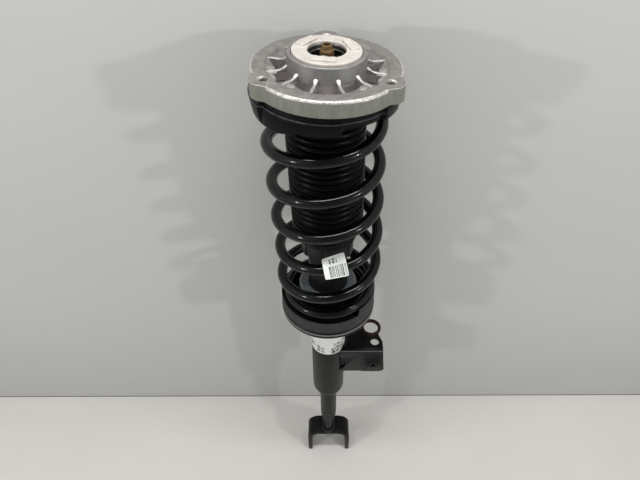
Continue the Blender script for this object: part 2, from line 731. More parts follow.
def topMountCasting(size):
    plate, boss = size["plate"], size["boss"]
    outline = rounded([
        (size["bore"], size["bossTop"], 0.4), (boss - 0.2, size["bossTop"], 1.5), (boss + 1.4, -size["recess"], 2.4),
        (51.4, -size["recess"], 2.6), (size["rimInner"] - 0.6, -1.2, 1.5), (size["rimInner"] + 0.8, 0, 1.2),
        (plate, 0, size["edge"]),
        (plate, -size["height"], 1.0), (64.6, -size["height"], 0.8), (63.2, -5.2, 1.0), (60.6, -5.2, 1.0),
        (53.2, -15.6, 2.0), (43.6, -15.6, 1.0),
        (size["hub"], -size["height"], 0.8), (size["hub"], size["hubFoot"], 0.8), (26, size["hubFoot"], 0.6),
        (26, -19.5, 0.6), (size["bore"], -19.5, 0.6)], 5)
    made = spunPiece("topMountCasting", outline, 180)
    first = gusset(size)
    parts = [turnedCopy(first, 15 + 30 * step) for step in range(size["ribs"])]
    bpy.data.objects.remove(first)
    step = ejectorStep(size)
    post = roundBar("post", (size["lugCircle"], 0, -7.05), size["postRadius"], 14.0, sides=64)
    bevelled(post, 1.1, 3, 50)
    boss = lugBoss(size)
    for lug in size["lugAngles"]:
        parts += [turnedCopy(step, lug), turnedCopy(step, lug, True), turnedCopy(post, lug), turnedCopy(boss, lug)]
    for done in (step, post, boss):
        bpy.data.objects.remove(done)
    carve(made, [joined(parts)], "UNION", True)
    hole = size["holeRadius"]
    mouth = hole + 1.6
    cutter = spunPiece("lugHole", [(0, 8), (mouth + 3, 8), (mouth + 3, 1), (mouth, 0), (hole + 0.3, -1.2),
                                   (hole, -2.4), (hole, -30), (0, -30)], 40, False)
    cutter.data.transform(Matrix.Translation((size["lugCircle"] * mm, 0, 0)))
    carve(made, [joined([turnedCopy(cutter, lug) for lug in size["lugAngles"]])])
    bpy.data.objects.remove(cutter)
    return smoothed(made, 35)


discSizes = dict(edge=34.35, top=14.9, under=11.2, hole=19.2, collarFoot=6.5, blockAngles=(-98, 22, 142),
                 blockLength=25.0, blockWidth=9.6, blockTop=17.1)


def mountCapDisc(size):
    hole, edge, top, foot = size["hole"], size["edge"], size["top"], size["collarFoot"]
    outline = rounded([
        (hole - 0.7, foot + 1.3, 0.3), (hole - 0.7, 11.6, 0.4), (hole, 12.4, 0.3), (hole, top, 0.7),
        (edge, top, 0.7), (edge, size["under"]), (21.2, size["under"], 0.6),
        (21.2, foot, 0.4), (17.7, foot, 0.4), (17.7, foot + 1.3, 0.4)], 4)
    made = spunPiece("mountCapDisc", outline, 128)
    letGo()
    bpy.ops.mesh.primitive_cube_add(size=1)
    block = bpy.context.object
    middle = hole + 0.9 + 0.5 * size["blockWidth"]
    bpy.ops.object.mode_set(mode="EDIT")
    bpy.ops.transform.resize(value=(size["blockWidth"] * mm, size["blockLength"] * mm, 4.4 * mm))
    bpy.ops.transform.translate(value=(middle * mm, 0, (size["blockTop"] - 2.2) * mm))
    bpy.ops.mesh.subdivide(number_cuts=5)
    bpy.ops.object.mode_set(mode="OBJECT")
    for point in block.data.vertices:
        # the inner edge is scalloped and the ends are drawn in
        across = point.co.y / mm
        if point.co.x < middle * mm:
            point.co.x += (1.0 - math.cos(across * 0.9)) * 0.28 * mm
        if point.co.z > top * mm:
            point.co.y *= 0.95
            point.co.z += 0.35 * math.cos(across * 0.9) * mm * (1 if point.co.x < middle * mm else 0)
    bevelled(block, 0.7, 3, 50)
    carve(made, [joined([turnedCopy(block, turn) for turn in size["blockAngles"]])], "UNION")
    bpy.data.objects.remove(block)
    return smoothed(made, 38)


rodSizes = dict(top=19.6, tierRadius=5.5, threadRadius=7.0, pitch=1.25, threadTop=12.9, threadFoot=-9.0,
                shoulder=-30.4, rod=9.0, spigotTop=-274.2, spigot=6.0, foot=-310.85, socket=6.6, socketDepth=7.0)


def pistonRod(size):
    thread = size["threadRadius"]
    outline = rounded([(0, size["top"]), (size["tierRadius"] - 0.1, size["top"], 0.9),
                       (size["tierRadius"], 15.4, 0.4), (thread - 0.2, 14.2, 0.5), (thread, size["threadTop"])], 3)
    height = size["threadTop"]
    while height > size["threadFoot"]:
        outline += [(thread - 0.75, height - 0.5 * size["pitch"]), (thread, height - size["pitch"])]
        height -= size["pitch"]
    shoulder, radius, spigot = size["shoulder"], size["rod"], size["spigot"]
    outline += [(thread - 0.6, height - 0.6), (thread - 0.6, -27), (thread + 0.3, -27.6), (thread + 0.3, shoulder),
                (radius - 0.5, shoulder), (radius, shoulder - 0.5), (radius, size["spigotTop"]),
                (spigot, size["spigotTop"]), (spigot, size["foot"]), (0, size["foot"])]
    made = spunPiece("pistonRod", outline, 48, False)
    socket = roundBar("socket", (0, 0, size["top"] - 0.5 * size["socketDepth"] + 1),
                      0.5 * size["socket"] / math.cos(tau / 12), size["socketDepth"] + 2, sides=6)
    carve(made, [socket])
    return smoothed(made, 32)


nutSizes = dict(flats=21.0, low=-8.5, high=2.5, bore=7.3, flange=14.0, flangeTop=-6.3)


def rodNut(size):
    low, high, bore, top = size["low"], size["high"], size["bore"], size["flangeTop"]
    nut = roundBar("rodNut", (0, 0, 0.5 * (low + high)), 0.5 * size["flats"] / math.cos(tau / 12), high - low, sides=6)
    dome = spunPiece("dome", [(0, high + 1), (9.0, high + 1), (13.4, high - 2.2), (13.4, -20), (0, -20)], 48, False)
    carve(nut, [dome], "INTERSECT")
    flange = rounded([(bore, low), (size["flange"], low, 0.5), (size["flange"], top - 0.8, 0.5), (9, top + 0.4),
                      (bore, top)], 3)
    carve(nut, [spunPiece("flange", flange, 48)], "UNION")
    carve(nut, [roundBar("bore", (0, 0, 0), bore, 40, sides=40)])
    return smoothed(nut, 30)


casting = leaned(topMountCasting(castingSizes), 0)
place(casting, looks["cast"], "cast_aluminium", "top_mount", "top_mount_casting")
place(leaned(mountCapDisc(discSizes), 0), looks["disc"], "pale_disc", "top_mount", "mount_cap_disc")
place(pistonRod(rodSizes), looks["rod"], "rusty_steel", "top_mount", "piston_rod")
place(rodNut(nutSizes), looks["steel"], "bright_steel", "top_mount", "rod_nut")
bush = spunPiece("mountBush", rounded([
    (16.3, -12.2, 0.5), (19.2, -6.6, 1.5), (23.2, 5.0, 1.5), (27.6, 10.6, 1.0), (34.4, 10.6, 0.8), (34.4, -19.2),
    (25.7, -19.2), (25.7, -22.6, 0.8), (16.3, -25.4, 0.5)], 4), 72)
place(leaned(smoothed(bush), 0), looks["bush"], "black_rubber", "top_mount", "mount_rubber_bush")


# Coil spring: one wire from the lower pad to the upper one
coilSizes = dict(wire=6.75, radius=62.25, endRadius=53.885, turns=6.811, start=-32.0, foot=-336.35, top=-34.35,
                 endPitch=18.8, lowerDead=0.70, lowerEase=0.85, upperEase=0.71, pigtail=0.74, pigtailEase=0.76,
                 straight=13.5, pointsPerTurn=48)


def smoothArea(turn, start, width):
    share = min(max((turn - start) / width, 0.0), 1.0)
    return width * (share ** 3 - 0.5 * share ** 4) + max(turn - start - width, 0.0)


def openTurns(turn, size=coilSizes):
    return (smoothArea(turn, size["lowerDead"], size["lowerEase"])
            - smoothArea(turn, size["turns"] - size["upperEase"], size["upperEase"]))


def coilHeight(turn, size=coilSizes):
    allOpen = openTurns(size["turns"])
    pitch = (size["top"] - size["foot"] - size["endPitch"] * (size["turns"] - allOpen)) / allOpen
    return size["foot"] + size["endPitch"] * (turn - openTurns(turn)) + pitch * openTurns(turn)


def coilRadius(turn, size=coilSizes):
    grown = smooth((turn - size["pigtail"]) / size["pigtailEase"])
    return size["endRadius"] + (size["radius"] - size["endRadius"]) * grown


def coilPoint(turn, size=coilSizes):
    angle = math.radians(size["start"]) + tau * turn
    return Vector((coilRadius(turn) * math.cos(angle), coilRadius(turn) * math.sin(angle), coilHeight(turn)))


def coilSpring(size):
    steps = round(size["turns"] * size["pointsPerTurn"])
    points = [coilPoint(size["turns"] * step / steps) for step in range(steps + 1)]
    first = math.radians(size["start"])
    last = first + tau * size["turns"]
    foot = Vector((math.sin(first), -math.cos(first), 0))
    tip = Vector((-math.sin(last), math.cos(last), 0))
    reach = size["straight"]
    points = [points[0] + foot * reach, points[0] + foot * (0.5 * reach)] + points
    points += [points[-1] + tip * (0.5 * reach), points[-1] + tip * reach]
    return smoothed(roundWire("coilSpring", points, size["wire"], 6), 50)


def followCompression(piece, size):
    # each ring of the wire keeps its round shape and moves by its own share, and the end turns stay on their pads
    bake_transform(piece)
    for point in piece.data.vertices:
        x, y, z = point.co / mm
        turn = (math.degrees(math.atan2(y, x)) - size["start"]) / 360 % 1
        best = min((turn + whole for whole in range(-1, 8)),
                   key=lambda at: abs(coilHeight(min(max(at, 0), size["turns"])) - z)
                   + (100 if at < -0.1 or at > size["turns"] + 0.1 else 0))


coil = place(coilSpring(coilSizes), looks["coil"], "gloss_black_coat", None, "coil_spring")
followCompression(coil, coilSizes)
leaned(coil)


# Upper pad: a deep skirt over the wire's end, a stop for its tip and a shallow skirt for the rest
upperPadSizes = dict(top=-17.2, radius=73.8, band=1.8, bandFoot=-23.4, deep=-39.4, shallow=-30.4, bore=45.9,
                     lipOuter=54.6, lipFoot=-37.0, skirtInner=70.6, lug=4.6,
                     lugs=((178, 213), (318, 341), (80, 101)), farEnd=-78.0, stopEnd=8, tipLead=22, deepEnd=138)


def upperSpringPad(size):
    floor = -27.3
    bore, edge, inner, lip = size["bore"], size["radius"], size["skirtInner"], size["lipOuter"]
    band = edge - size["band"]
    outline = rounded([
        (bore, size["lipFoot"], 0.8), (bore, size["top"]), (band, size["top"], 0.5), (band, size["bandFoot"], 0.4),
        (edge, size["bandFoot"] - 1.1, 0.5), (edge, size["deep"], 1.0), (inner, size["deep"], 0.8), (inner, floor),
        (lip, floor), (lip, size["lipFoot"], 0.8)], 3)
    made = spunPiece("upperSpringPad", outline, 240)

    def shapePad(radius, angle, height):
        behind = (size["farEnd"] - angle) % 360
        wireBack = behind - size["tipLead"]
        turn = coilSizes["turns"] - min(max(wireBack, 0), 130) / 360
        overWire = coilHeight(turn) + coilSizes["wire"] + 0.4
        flat = size["shallow"] + 0.6
        if abs(height - floor) < 0.05:
            height = overWire + (flat - overWire) * smooth((wireBack - 130) / 50)
            if behind <= size["stopEnd"]:
                height = size["deep"] + 0.6
        elif radius > 68 and height < -36:
            # the deep skirt follows the wire down, and the shallow one has a thinner wall
            if behind > size["deepEnd"]:
                height += size["shallow"] - size["deep"]
            else:
                height += 1.8 - 6.0 * smooth((behind - 28) / 26)
        if radius > 73 and behind > size["deepEnd"]:
            radius -= 1.3
        if radius > 71.5 and any(0 <= (angle - first) % 360 <= last - first for first, last in size["lugs"]):
            radius += size["lug"] * smooth((height + 44) / 15)
        return radius, angle, height

    movePoints(made, shapePad)
    return smoothed(made, 34)


# Lower pad: a ramp under the first turn and a tall stop outside its foot
lowerPadSizes = dict(foot=-348.3, radius=65.3, wallInner=62.9, wallTop=-329.7, tallTop=-318.3, inner=51.4,
                     stopAngle=-50.0, lead=18.0, rampTop=-334.5)


def lowerSpringPad(size):
    floor = -343.6
    inner, edge, wall = size["inner"], size["radius"], size["wallInner"]
    outline = rounded([
        (inner, floor), (inner, size["foot"], 0.5), (edge, size["foot"], 0.8), (edge, size["wallTop"], 0.9),
        (wall, size["wallTop"], 0.7), (wall, floor)], 3)
    made = spunPiece("lowerSpringPad", outline, 240)

    def shapePad(radius, angle, height):
        forward = (angle - size["stopAngle"]) % 360
        turn = min(max(forward - size["lead"], 0), 282) / 360
        if abs(height - floor) < 0.05:
            height = min(coilHeight(turn) - coilSizes["wire"] - 0.4, size["rampTop"])
        elif height > -335:
            height += (size["tallTop"] - size["wallTop"]) * (1 - smooth((forward - 46) / 14))
        return radius, angle, height

    movePoints(made, shapePad)
    return smoothed(made, 34)


raisedPad = leaned(upperSpringPad(upperPadSizes))
place(raisedPad, looks["upperPad"], "black_rubber", "top_mount", "upper_spring_pad")
place(lowerSpringPad(lowerPadSizes), looks["lowerPad"], "pad_rubber", "damper", "lower_spring_pad")


# Dust boot with round convolutions, and what it hides
bootSizes = dict(collarBore=41.5, collarEdge=45.6, collarTop=-17.5, ribsTop=-38.0, radius=44.0, ribDepth=3.7,
                 wall=1.8, ribs=21, ribsFoot=-205.0, hemTop=-213.0, hemFoot=-222.0, hemBore=33.95, hemWall=2.6)


def dustBoot(size):
    valley = size["radius"] - size["ribDepth"]
    pitch = (size["ribsTop"] - size["ribsFoot"]) / size["ribs"]
    bore, edge, top = size["collarBore"], size["collarEdge"], size["collarTop"]
    outer = rounded([(0, 0), (bore, top, 0.4), (edge, top, 0.9), (edge, size["ribsTop"], 1.2),
                     (valley, size["ribsTop"] - 0.3)], 3)[1:]
    for step in range(size["ribs"]):
        high = size["ribsTop"] - pitch * step
        for share in (0.08, 0.2, 0.35, 0.5, 0.65, 0.8, 0.92, 1.0):
            bulge = size["ribDepth"] * max(math.sin(math.pi * share), 0.0) ** 0.75
            outer.append((valley + bulge, high - pitch * share))
    hemBore, hemTop, hemFoot = size["hemBore"], size["hemTop"], size["hemFoot"]
    hem, inside = hemBore + size["hemWall"], valley - size["wall"]
    rest = rounded([outer[-1], (hem, hemTop, 1.5), (hem, hemFoot, 0.8), (hemBore, hemFoot), (hemBore, hemTop),
                    (inside, size["ribsFoot"]), (inside, -24.6), (bore, -24.6)], 3)[1:]
    return smoothed(spunPiece("dustBoot", outer + rest, 96), 60)


def followBoot(piece):
    # the collar stays with the mount, the hem with the tube, and each rib takes its share
    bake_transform(piece)


boot = place(dustBoot(bootSizes), looks["boot"], "boot_rubber", None, "dust_boot")
followBoot(boot)
leaned(boot, 0.45)
stop = spunPiece("bumpStop", rounded([
    (9.6, -30.5), (24.4, -30.5, 2.0), (24.4, -48, 5), (19.2, -54, 5), (22.6, -66, 6), (18.0, -78, 5),
    (19.8, -89, 6), (15.6, -99, 5), (15.0, -116.4, 3), (9.6, -116.4)], 5), 64)
place(smoothed(stop, 50), looks["foam"], "stop_foam", "top_mount", "bump_stop")
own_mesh(stop)


# Tube, its cap and the stem
tubeSizes = dict(radius=25.7, top=-212.3, foot=-568.4, shoulderFoot=-588.4, neck=14.2, bore=23.0, mouth=20.5)
capSizes = dict(radius=33.3, top=-209.0, foot=-247.8, tooth=-224.6, depth=1.7, hole=10.5, gripInner=26.0,
                skirtInner=29.6, period=45.0, firstTooth=-148.0, toothAngle=20.0)
stemSizes = dict(radius=14.2, top=-588.7, foot=-725.9, pinch=55.0, halfWidth=6.9, wall=3.0)


def damperTube(size):
    radius, top, foot, low = size["radius"], size["top"], size["foot"], size["shoulderFoot"]
    shoulder = [(radius - (radius - size["neck"]) * (1 - math.cos(turn)), foot - (foot - low) * math.sin(turn))
                for turn in [0.5 * math.pi * step / 10 for step in range(11)]]
    outline = rounded([(0, 0), (size["mouth"], top - 2.7), (size["mouth"], top, 0.6), (radius, top, 1.8),
                       (radius, foot)], 4)[1:]
    outline = [(size["bore"], top - 2.7)] + outline + shoulder[1:]
    outline += [(0, low), (0, low + 4), (size["neck"] - 1, low + 4), (size["bore"], foot)]
    # the loop is cut open on the axis
    at = outline.index((0, low + 4))
    return smoothed(spunPiece("damperTube", outline[at:] + outline[:at], 96, False), 30)


def tubeCap(size):
    hole, edge, top, tooth = size["hole"], size["radius"], size["top"], size["tooth"]
    outline = rounded([
        (hole, top - 3), (hole, top, 0.5), (edge - 2.5, top, 0.8), (edge, top - 2.5, 0.8), (edge, tooth + 1.2),
        (edge, tooth), (edge, size["foot"], 0.6), (size["skirtInner"], size["foot"]), (size["skirtInner"], -227.2),
        (size["gripInner"], -223.5), (size["gripInner"], top - 3)], 3)
    made = spunPiece("tubeCap", outline, 216)

    def notch(radius, angle, height):
        into = (angle - size["firstTooth"]) % size["period"]
        if radius > edge - 1 and height < tooth + 0.4 and 0 <= into <= size["toothAngle"]:
            radius -= size["depth"]
        return radius, angle, height

    movePoints(made, notch)
    return smoothed(made, 34)


def stemTube(size):
    radius, top, foot = size["radius"], size["top"], size["foot"]
    roof, inside = foot + size["pinch"], radius - size["wall"]
    outline = [(0, foot), (radius, foot)]
    outline += [(radius, foot + size["pinch"] * share) for share in (0.08, 0.2, 0.35, 0.5, 0.65, 0.8, 1.0)]
    outline += [(radius, top - 0.6), (radius - 0.6, top), (inside, top), (inside, roof + 3), (0, roof + 3)]
    made = spunPiece("stemTube", outline, 72, False)
    for point in made.data.vertices:
        share = smooth((roof - point.co.z / mm) / size["pinch"])
        if share > 0:
            # pinched from a ring to a flat slot with blunt ends
            across, along = point.co.x / mm / radius, point.co.y / mm / radius
            power = 1 - 0.5 * share
            across = math.copysign(abs(across) ** power, across)
            along = math.copysign(abs(along) ** power, along)
            point.co.x = across * (radius + (size["halfWidth"] - radius) * share) * mm
            point.co.y = along * radius * mm
    return smoothed(made, 40)


place(damperTube(tubeSizes), looks["tube"], "satin_black_paint", "damper", "damper_tube")
place(tubeCap(capSizes), looks["cap"], "black_plastic", "damper", "tube_cap")
place(stemTube(stemSizes), looks["tube"], "satin_black_paint", "damper", "stem_tube")


# Spring perch: pressed dish with a raised middle
perchSizes = dict(seat=-348.6, radius=65.9, rimFoot=-359.4, crest=-311.4, topRadius=38.0, floor=50.5, sheet=3.0,
                  bore=26.0, neck=14.6)


def springPerch(size):
    seat, sheet, crest, foot = size["seat"], size["sheet"], size["crest"], size["rimFoot"]
    bore, edge, dome, floor = size["bore"], size["radius"], size["topRadius"], size["floor"]
    neck = crest - size["neck"]
    outline = rounded([
        (bore, neck), (bore, crest, 1.4), (dome + 0.8, crest, 3.2), (floor - 2.4, seat, 2.6), (edge, seat, 2.2),
        (edge, foot, 0.7), (edge - sheet, foot, 0.7), (edge - sheet, seat - sheet, 0.8),
        (floor - 4.6, seat - sheet, 2.0), (dome - 0.6, crest - sheet, 2.0), (bore + sheet, crest - sheet, 0.8),
        (bore + sheet, neck)], 5)
    return smoothed(spunPiece("springPerch", outline, 128), 34)


place(springPerch(perchSizes), looks["perch"], "dark_paint", "damper", "lower_spring_perch")


# Hose bracket: bent sheet with a ring, a small hole and a stiffened flange
bracketSizes = dict(top=-453.4, sheet=3.5, reach=85.2, front=-20.0, bend=5.0, foot=-511.4, corner=9.0, flare=4.5,
                    ring=(68.8, 24.9), ringHole=11.3, ringWall=4.7, smallHole=(73.1, -3.3), smallRadius=6.7,
                    smallWall=5.8, notchReach=27.3, notch=(-473.4, -505.4), clipHole=(71.1, -492.4), clipRadius=3.3,
                    emboss=10.0, joggle=(50.2, 56.7), joggleDepth=1.1)


def hoseBracket(size):
    top, sheet, front, bend = size["top"], size["sheet"], size["front"], size["bend"]
    line = front + bend
    foot, left = size["foot"], 7.7
    # the bent strip is drawn from the side, and the outline seen from above cuts it out
    strip = [(60, top)] + arcPoints((line, top - bend), bend, 90, 180, 8) + [(front, foot), (front + sheet, foot)]
    strip += arcPoints((line, top - bend), bend - sheet, 180, 90, 5) + [(60, top - sheet)]
    made = drawnShape("hoseBracket", [(left, y, z) for y, z in strip], (size["reach"] - left, 0, 0))
    for point in made.data.vertices:
        if abs(point.co.z - foot * mm) < 0.0001 and point.co.x > 80 * mm:
            point.co.x += size["flare"] * mm
    corner = size["smallRadius"] + size["smallWall"]
    outline = [(0, front - 5), (size["reach"] + 10, front - 5), (size["reach"] + 10, line), (size["reach"], line)]
    outline += arcPoints((size["reach"] - 0.25 * corner, size["smallHole"][1]), 0.25 * corner, 0, 54, 4)
    outline += arcPoints(size["ring"], size["ringHole"] + size["ringWall"], -50.4, 189, 28)
    outline += [(43.8, 19.3), (left, 23.1), (0, 23.1)]
    carve(made, [drawnShape("seenFromAbove", [(x, y, foot - 5) for x, y in outline], (0, 0, top - foot + 10))],
          "INTERSECT")
    takeUp(made)
    bpy.ops.object.mode_set(mode="EDIT")
    for edge in size["joggle"]:
        bpy.ops.mesh.select_all(action="SELECT")
        bpy.ops.mesh.bisect(plane_co=(edge * mm, 0, 0), plane_no=(1, 0, 0))
    for level in (top - 9, top - 12):
        bpy.ops.mesh.select_all(action="SELECT")
        bpy.ops.mesh.bisect(plane_co=(0, 0, level * mm), plane_no=(0, 0, 1))
    bpy.ops.object.mode_set(mode="OBJECT")
    for point in made.data.vertices:
        if point.co.x < (size["joggle"][0] + 0.1) * mm and point.co.z < (top - 11.9) * mm:
            point.co.y += size["joggleDepth"] * mm
    hole, small, clip = size["ring"], size["smallHole"], size["clipHole"]
    middle = top - 0.5 * sheet
    emboss = roundBar("emboss", (clip[0], front + 0.2, clip[1]), size["emboss"], 2.6, "Y", 48)
    bevelled(emboss, 0.8, 3, 50)
    carve(made, [emboss], "UNION")
    rim, under = size["ringHole"], top - sheet - 0.5
    ringBead = spunPiece("ringBead", rounded([
        (rim, top + 0.9, 1.2), (rim + 3.4, top + 0.9, 1.4), (rim + 4.4, top - 1.6, 1.2), (rim + 3.4, under, 1.2),
        (rim, under, 1.0)], 3), 56)
    ringBead.data.transform(Matrix.Translation(Vector((hole[0], hole[1], 0)) * mm))
    cutters = [roundBar("tubeCut", (0, 0, -480), 26.0, 160, sides=96),
               roundBar("ringCut", (hole[0], hole[1], middle), size["ringHole"] + 0.6, 12, sides=56),
               roundBar("smallCut", (small[0], small[1], middle), size["smallRadius"], 12, sides=48),
               roundBar("clipCut", (clip[0], front, clip[1]), size["clipRadius"], 20, "Y", 40)]
    high, low = size["notch"]
    half = 0.5 * (high - low)
    deep = size["notchReach"] - 0.5 * half
    bow = [(deep + 0.5 * (x - deep), z) for x, z in arcPoints((deep, 0.5 * (high + low)), half, 90, -90, 16)]
    notch = bow + [(0, low), (0, high)]
    cutters.append(drawnShape("notchCut", [(x, front - 8, z) for x, z in notch], (0, 24, 0)))
    right, turn = size["reach"] + size["flare"], size["corner"]
    trim = arcPoints((right - turn, foot + turn), turn, 0, -90, 12)
    trim += [(right - turn, foot - 5), (right + 6, foot - 5), (right + 6, foot + turn)]
    cutters.append(drawnShape("cornerCut", [(x, front - 8, z) for x, z in trim], (0, 24, 0)))
    carve(made, cutters)
    back = front + size["joggleDepth"] + sheet
    doubler = [(19.5, high + 4), (31.0, high + 4), (31.0, low - 2.5), (19.5, low - 2.5)]
    carve(made, [ringBead, drawnShape("doubler", [(x, back - 0.1, z) for x, z in doubler], (0, 1.6, 0))], "UNION")
    return smoothed(bevelled(made, 0.45, 2, 45), 34)


def bracketLook():
    # the bracket's paint, rubbed along the bend, with rust coming through round the ring
    look = looks["dark"].copy()
    look.name = "rustyBracketPaint"
    tree, shader, colour = painted(look)
    shift = addNode(tree, "ShaderNodeVectorMath", {"operation": "DISTANCE"})
    ring = bracketSizes["ring"]
    shift.inputs[1].default_value = (ring[0] * mm, ring[1] * mm, (bracketSizes["top"] - 1) * mm)
    wire(tree, ownPlace(tree), shift.inputs[0])
    near = remap(tree, shift.outputs["Value"], 19 * mm, 13 * mm)
    blotch = use(tree, mottle, Scale=260, Low=0.3, High=0.6)
    share = product(tree, near, blotch.outputs["Mask"])
    bend = heightBand(tree, *markHeights["bracketBend"])
    colour = mixColours(tree, bend, colour, paint((92, 92, 95)))
    wire(tree, mixColours(tree, share, colour, paint((58, 36, 22))), shader.inputs["Base Color"])
    return look


place(hoseBracket(bracketSizes), bracketLook(), "dark_paint", "damper", "hose_bracket")


def clipNut():
    # plain hexagon nut welded behind the flange
    x, z = bracketSizes["clipHole"]
    letGo()
    bpy.ops.mesh.primitive_cylinder_add(vertices=6, radius=10.0 / 2 / math.cos(tau / 12) * mm, depth=5.8 * mm,
                                        location=(x * mm, (-16.5 + 3.2) * mm, z * mm), rotation=(tau / 4, 0, 0))
    nutPiece = bpy.context.object
    nutPiece.name = "clipNut"
    bpy.ops.object.transform_apply(location=True, rotation=True, scale=True)
    carve(nutPiece, [roundBar("bore", (x, -13, z), 2.6, 20, "Y", 32)])
    return smoothed(bevelled(nutPiece, 0.4, 2, 45), 34)


place(clipNut(), looks["steel"], "bright_steel", "damper", "bracket_nut")


# Weld beads: each a wire whose thickness swells along it
def bead(name, points, radius, node, closed):
    def swell(at):
        return 1 + 0.14 * math.sin(at * 1.9) + 0.08 * math.sin(at * 0.73 + 1)

    made = roundWire(name, points, radius, 3, closed, swell)
    return place(smoothed(made, 60), looks["weld"], "weld_bead", "damper", node)


def ringOf(radiusX, radiusY, height, count, power=1.0):
    # a power below one squares the ring off
    made = []
    for at in range(count):
        x, y = math.cos(tau * at / count), math.sin(tau * at / count)
        x, y = math.copysign(abs(x) ** power, x), math.copysign(abs(y) ** power, y)
        made.append((radiusX * x, radiusY * y, height))
    return made


weldArc = [(x, y, -450.9) for x, y in arcPoints((0, 0), 28.3, -30, 36, 33)]
bead("bracketWeld", weldArc, 2.3, "bracket_weld", False)
bead("stemWeld", ringOf(15.2, 15.2, -589.6, 96), 1.25, "stem_weld", True)
bead("perchWeld", ringOf(27.4, 27.4, -327.6, 110), 1.5, "perch_weld", True)
bead("forkWeld", ringOf(9.4, 16.0, -724.8, 90, 0.62), 2.7, "fork_weld", True)


# Fork: a U of thick strip
forkSizes = dict(top=-726.2, foot=-795.4, width=79.3, depth=35.2, strip=7.4, corner=23.5, bolt=6.1, boltRise=19.0)


def forkStrip(size):
    half = 0.5 * size["width"]
    top, foot, strip = size["top"], size["foot"], size["strip"]
    inner = size["corner"] - strip
    outline = [(half, foot)]
    outline += arcPoints((half - size["corner"], top - size["corner"]), size["corner"], 0, 90, 14)
    outline += arcPoints((-half + size["corner"], top - size["corner"]), size["corner"], 90, 180, 14)
    outline += [(-half, foot), (-half + strip, foot)]
    outline += arcPoints((-half + size["corner"], top - size["corner"]), inner, 180, 90, 12)
    outline += arcPoints((half - size["corner"], top - size["corner"]), inner, 90, 0, 12)
    outline += [(half - strip, foot)]
    made = drawnShape("forkStrip", [(x, -0.5 * size["depth"], z) for x, z in outline], (0, size["depth"], 0))
    carve(made, [roundBar("bolt", (0, 0, foot + size["boltRise"]), size["bolt"], 2 * size["width"], "X", 48)])
    return smoothed(bevelled(made, 0.9, 3, 40), 34)


place(forkStrip(forkSizes), looks["fork"], "satin_black_paint", "damper", "fork")


# Paper: a tag on the wire and a label round the tube, both with plain bars
def paperLook(name, across, down, bars, blocks, cells=()):
    # bars and blocks are (left, right, low, high) shares of the sheet, and bars are broken into stripes
    # cells end in how many squares one whole sheet would hold across and down
    look = makeLook(name, {"colour": (234, 238, 231), "second": (224, 228, 221), "patch": 120,
                           "roughness": (0.4, 0.55), "edge": 0.2, "grain": 1600, "bump": 0.06})
    tree, shader, colour = painted(look)
    parts = threeParts(tree, addNode(tree, "ShaderNodeUVMap").outputs["UV"])

    def between(value, low, high):
        return product(tree, combine(tree, "GREATER_THAN", value, low), combine(tree, "LESS_THAN", value, high))

    def printed(ink, left, right, low, high, chance, limit):
        area = product(tree, between(parts["X"], left, right), between(parts["Y"], low, high))
        return combine(tree, "MAXIMUM", ink, product(tree, area, combine(tree, "GREATER_THAN", chance, limit)))

    ink = 0.0
    for group, scale, along in ((bars, across, "X"), (blocks, down, "Y")):
        for box in group:
            stripes = addNode(tree, "ShaderNodeTexNoise", {"noise_dimensions": "1D"}, {"Scale": scale, "Detail": 2.0})
            wire(tree, parts[along], stripes.inputs["W"])
            ink = printed(ink, *box, stripes.outputs["Fac"], 0.5)
    for *box, columns, rows in cells:
        spot = addNode(tree, "ShaderNodeCombineXYZ")
        for side, count in (("X", columns), ("Y", rows)):
            square = combine(tree, "FLOOR", product(tree, parts[side], float(count)), 0.0)
            wire(tree, square, spot.inputs[side])
        chance = addNode(tree, "ShaderNodeTexWhiteNoise", {"noise_dimensions": "2D"})
        wire(tree, spot.outputs[0], chance.inputs["Vector"])
        ink = printed(ink, *box, chance.outputs["Value"], 0.45)
    wire(tree, mixColours(tree, ink, colour, paint((22, 24, 25))), shader.inputs["Base Color"])
    return look


def sheetGrid(name, cornersAt, columns, rows, thickness):
    # a sheet whose points come from shares across and down
    letGo()
    bpy.ops.mesh.primitive_grid_add(x_subdivisions=columns, y_subdivisions=rows, size=1)
    sheet = bpy.context.object
    sheet.name = sheet.data.name = name
    for point in sheet.data.vertices:
        point.co = Vector(cornersAt(point.co.x + 0.5, point.co.y + 0.5)) * mm
    takeUp(sheet)
    thick = sheet.modifiers.new("thickness", "SOLIDIFY")
    thick.thickness = thickness * mm
    thick.offset = 1
    bpy.ops.object.modifier_apply(modifier="thickness")
    return smoothed(sheet, 40)


def coilTag():
    # stuck askew on the front of the third turn, facing up and forwards, and a little curled
    centre = Vector((8.3, -64.7, -219.0))
    right, up, out = Vector((1.0, 0.004, -0.013)), Vector((0.007, 0.687, 0.726)), Vector((0.012, -0.726, 0.687))
    corners = [Vector(corner) for corner in ((-11.3, -15.6), (16.8, -10.3), (-16.1, 8.7), (10.5, 17.4))]

    def at(across, rise):
        low, high = corners[0].lerp(corners[1], across), corners[2].lerp(corners[3], across)
        spot = low.lerp(high, rise)
        # the corners are cut a little round
        spot *= 1 - 0.035 * (abs(2 * across - 1) * abs(2 * rise - 1)) ** 6
        curl = 0.8 * (2 * across - 1) ** 2 + 1.6 * smooth((rise - 0.8) / 0.2)
        return centre + right * spot.x + up * spot.y - out * curl

    return sheetGrid("coilTag", at, 24, 24, 0.3)


def tubeLabel():
    def at(across, down):
        turn = math.radians(-90 - 84 + 168 * across)
        radius = tubeSizes["radius"] + 0.06
        return (radius * math.cos(turn), radius * math.sin(turn), -455.4 + 80 * down)

    return sheetGrid("tubeLabel", at, 64, 4, 0.15)


